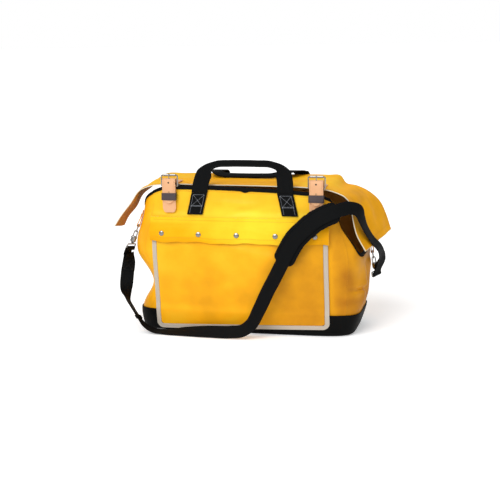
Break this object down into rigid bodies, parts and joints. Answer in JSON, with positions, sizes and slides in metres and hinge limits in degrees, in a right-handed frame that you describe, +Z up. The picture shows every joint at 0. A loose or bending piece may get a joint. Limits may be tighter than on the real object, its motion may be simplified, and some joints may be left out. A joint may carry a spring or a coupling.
{
  "type": "equipment bag",
  "caption": "Wide-mouth fabric tool bag with a boot base, loose cover, webbing handles, buckled leather closures, snapped outside pocket and padded shoulder strap.",
  "frame": {"origin": "middle of the bag's footprint, on the floor under the boot", "axes": "+X to the right seen from the front, -Y the pocket side (front), +Z up"},
  "size_m": [0.764, 0.3305, 0.4941],
  "materials": {
    "back_band": "woven",
    "back_panel": "coated, satin",
    "back_stay": "brushed",
    "base_board": "matte",
    "billet_left": "natural",
    "billet_right": "natural",
    "boot": "matte",
    "buckle_frame_left": "bright nickel",
    "buckle_frame_right": "bright nickel",
    "chape_left": "natural",
    "chape_right": "natural",
    "cover": "coated, satin",
    "d_ring_left": "bright nickel",
    "d_ring_right": "bright nickel",
    "d_ring_tab_left": "woven",
    "d_ring_tab_right": "woven",
    "front_band": "woven",
    "front_handle": "woven",
    "front_handle_tab_left": "woven",
    "front_handle_tab_right": "woven",
    "front_panel": "coated, satin",
    "front_stay": "brushed",
    "keeper_left": "matte",
    "keeper_right": "matte",
    "left_end_band": "woven",
    "left_end_panel": "coated, satin",
    "pocket_binding": "woven",
    "pocket_flap": "coated, satin",
    "pocket_panel": "coated, satin",
    "rear_handle": "woven",
    "rear_handle_tab_left": "woven",
    "rear_handle_tab_right": "woven",
    "right_end_band": "woven",
    "right_end_panel": "coated, satin",
    "roller_left": "bright nickel",
    "roller_right": "bright nickel",
    "shoulder_pad": "woven",
    "shoulder_strap": "woven",
    "snap_bolt_left": "bright nickel",
    "snap_bolt_right": "bright nickel",
    "snap_cap_1": "bright nickel",
    "snap_cap_2": "bright nickel",
    "snap_cap_3": "bright nickel",
    "snap_cap_4": "bright nickel",
    "snap_cap_5": "bright nickel",
    "snap_eye_left": "bright nickel",
    "snap_eye_right": "bright nickel",
    "snap_hook_left": "bright nickel",
    "snap_hook_right": "bright nickel",
    "snap_stud_1": "bright nickel",
    "snap_stud_2": "bright nickel",
    "snap_stud_3": "bright nickel",
    "snap_stud_4": "bright nickel",
    "snap_stud_5": "bright nickel",
    "tongue_left": "bright nickel",
    "tongue_right": "bright nickel"
  },
  "bodies": {
    "bag": {"back_band": "back_band", "back_panel": "back_panel", "back_stay": "back_stay", "base_board": "base_board", "boot": "boot", "buckle_frame_left": "buckle_frame_left", "buckle_frame_right": "buckle_frame_right", "chape_left": "chape_left", "chape_right": "chape_right", "d_ring_left": "d_ring_left", "d_ring_right": "d_ring_right", "d_ring_tab_left": "d_ring_tab_left", "d_ring_tab_right": "d_ring_tab_right", "front_band": "front_band", "front_handle_tab_left": "front_handle_tab_left", "front_handle_tab_right": "front_handle_tab_right", "front_panel": "front_panel", "front_stay": "front_stay", "keeper_left": "keeper_left", "keeper_right": "keeper_right", "left_end_band": "left_end_band", "left_end_panel": "left_end_panel", "pocket_binding": "pocket_binding", "pocket_panel": "pocket_panel", "rear_handle_tab_left": "rear_handle_tab_left", "rear_handle_tab_right": "rear_handle_tab_right", "right_end_band": "right_end_band", "right_end_panel": "right_end_panel", "shoulder_pad": "shoulder_pad", "shoulder_strap": "shoulder_strap", "snap_hook_left": "snap_hook_left", "snap_hook_right": "snap_hook_right", "snap_stud_1": "snap_stud_1", "snap_stud_2": "snap_stud_2", "snap_stud_3": "snap_stud_3", "snap_stud_4": "snap_stud_4", "snap_stud_5": "snap_stud_5"},
    "cover": {"cover": "cover", "billet_left": "billet_left", "billet_right": "billet_right"},
    "pocket_flap": {"pocket_flap": "pocket_flap", "snap_cap_1": "snap_cap_1", "snap_cap_2": "snap_cap_2", "snap_cap_3": "snap_cap_3", "snap_cap_4": "snap_cap_4", "snap_cap_5": "snap_cap_5"},
    "front_handle": {"front_handle": "front_handle"},
    "rear_handle": {"rear_handle": "rear_handle"},
    "tongue_left": {"tongue_left": "tongue_left"},
    "roller_left": {"roller_left": "roller_left"},
    "snap_bolt_left": {"snap_bolt_left": "snap_bolt_left"},
    "snap_eye_left": {"snap_eye_left": "snap_eye_left"},
    "tongue_right": {"tongue_right": "tongue_right"},
    "roller_right": {"roller_right": "roller_right"},
    "snap_bolt_right": {"snap_bolt_right": "snap_bolt_right"},
    "snap_eye_right": {"snap_eye_right": "snap_eye_right"}
  },
  "joints": [
    {"name": "cover_hinge", "type": "hinge", "parent": "bag", "child": "cover", "pos_m": [0, 0.12737, 0.4223], "axis": [-1, 0, 0], "range_deg": [0, 105], "deforming": ["billet_left", "billet_right", "shoulder_strap", "shoulder_pad"]},
    {"name": "rear_handle_swing", "type": "hinge", "parent": "cover", "child": "rear_handle", "pos_m": [0, 0.12737, 0.4223], "axis": [-1, 0, 0], "range_deg": [0, 60]},
    {"name": "front_handle_swing", "type": "hinge", "parent": "bag", "child": "front_handle", "pos_m": [0, -0.12706, 0.404], "axis": [1, 0, 0], "range_deg": [0, 105]},
    {"name": "pocket_flap_hinge", "type": "hinge", "parent": "bag", "child": "pocket_flap", "pos_m": [0, -0.13305, 0.334], "axis": [-1, 0, 0], "range_deg": [0, 110], "deforming": ["shoulder_strap", "shoulder_pad"]},
    {"name": "tongue_left_hinge", "type": "hinge", "parent": "bag", "child": "tongue_left", "pos_m": [-0.208, -0.12177, 0.418], "axis": [1, 0, 0], "range_deg": [0, 15], "deforming": ["billet_left"]},
    {"name": "roller_left_spin", "type": "hinge", "parent": "bag", "child": "roller_left", "pos_m": [-0.208, -0.12177, 0.45], "axis": [1, 0, 0], "continuous": true},
    {"name": "snap_bolt_left_slide", "type": "slide", "parent": "bag", "child": "snap_bolt_left", "axis": [-0.3622, -0.0955, -0.9272], "range_m": [0, 0.0065], "stiffness_N_per_m": 250, "springref_m": -0.002},
    {"name": "snap_eye_left_swivel", "type": "hinge", "parent": "bag", "child": "snap_eye_left", "pos_m": [-0.33676, -0.09175, 0.24836], "axis": [-0.3622, -0.0955, -0.9272], "range_deg": [-40, 0], "deforming": ["shoulder_strap", "shoulder_pad"]},
    {"name": "tongue_right_hinge", "type": "hinge", "parent": "bag", "child": "tongue_right", "pos_m": [0.208, -0.12177, 0.418], "axis": [1, 0, 0], "range_deg": [0, 15], "deforming": ["billet_right"]},
    {"name": "roller_right_spin", "type": "hinge", "parent": "bag", "child": "roller_right", "pos_m": [0.208, -0.12177, 0.45], "axis": [1, 0, 0], "continuous": true},
    {"name": "snap_bolt_right_slide", "type": "slide", "parent": "bag", "child": "snap_bolt_right", "axis": [0.1721, 0.0233, -0.9848], "range_m": [0, 0.0065], "stiffness_N_per_m": 250, "springref_m": -0.002},
    {"name": "snap_eye_right_swivel", "type": "hinge", "parent": "bag", "child": "snap_eye_right", "pos_m": [0.3408, 0.08705, 0.15315], "axis": [0.1721, 0.0233, -0.9848], "range_deg": [-40, 0], "deforming": ["shoulder_strap", "shoulder_pad"]}
  ]
}
